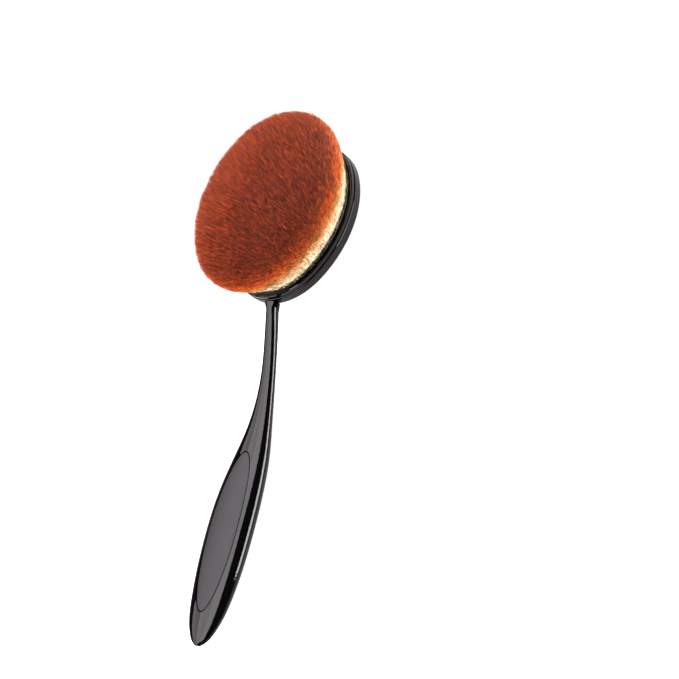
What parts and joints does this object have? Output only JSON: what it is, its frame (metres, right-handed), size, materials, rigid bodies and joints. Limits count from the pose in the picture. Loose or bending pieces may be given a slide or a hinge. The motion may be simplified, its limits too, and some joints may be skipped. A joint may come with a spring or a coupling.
{
  "type": "body dry brush",
  "caption": "Oval-headed body brush: dense domed bristles in a black cup on a slim, curved neck, with a wide flat-oval handle and an inset matt grip panel.",
  "frame": {"origin": "under the middle of the brush's overall box, on the surface it lies on", "axes": "the brush lies on its back: +Y from the foot of the handle to the head, +Z towards the bristle side, X across the brush, which is symmetric about X = 0"},
  "size_m": [0.0688, 0.2176, 0.0485],
  "materials": {
    "gloss_black": "polished moulded plastic, high gloss",
    "soft_touch_black": "fine matt soft-touch grain",
    "adhesive_film": "clear-drying adhesive, hidden",
    "cup_black": "plain moulded plastic, hidden behind the ring",
    "potting_resin": "cast resin, hidden",
    "bristle_fibre": "dense fine synthetic fibre, cream at the root and red-brown at the tip"
  },
  "bodies": {
    "root": {"handle_body": "gloss_black", "grip_panel": "soft_touch_black", "grip_panel_tape": "adhesive_film", "neck_collar": "gloss_black", "head_shell": "gloss_black", "trim_ring": "gloss_black", "bristle_cup": "cup_black", "cup_glue_bed": "adhesive_film", "bristle_potting": "potting_resin", "bristle_bundle": "bristle_fibre"}
  },
  "joints": []
}
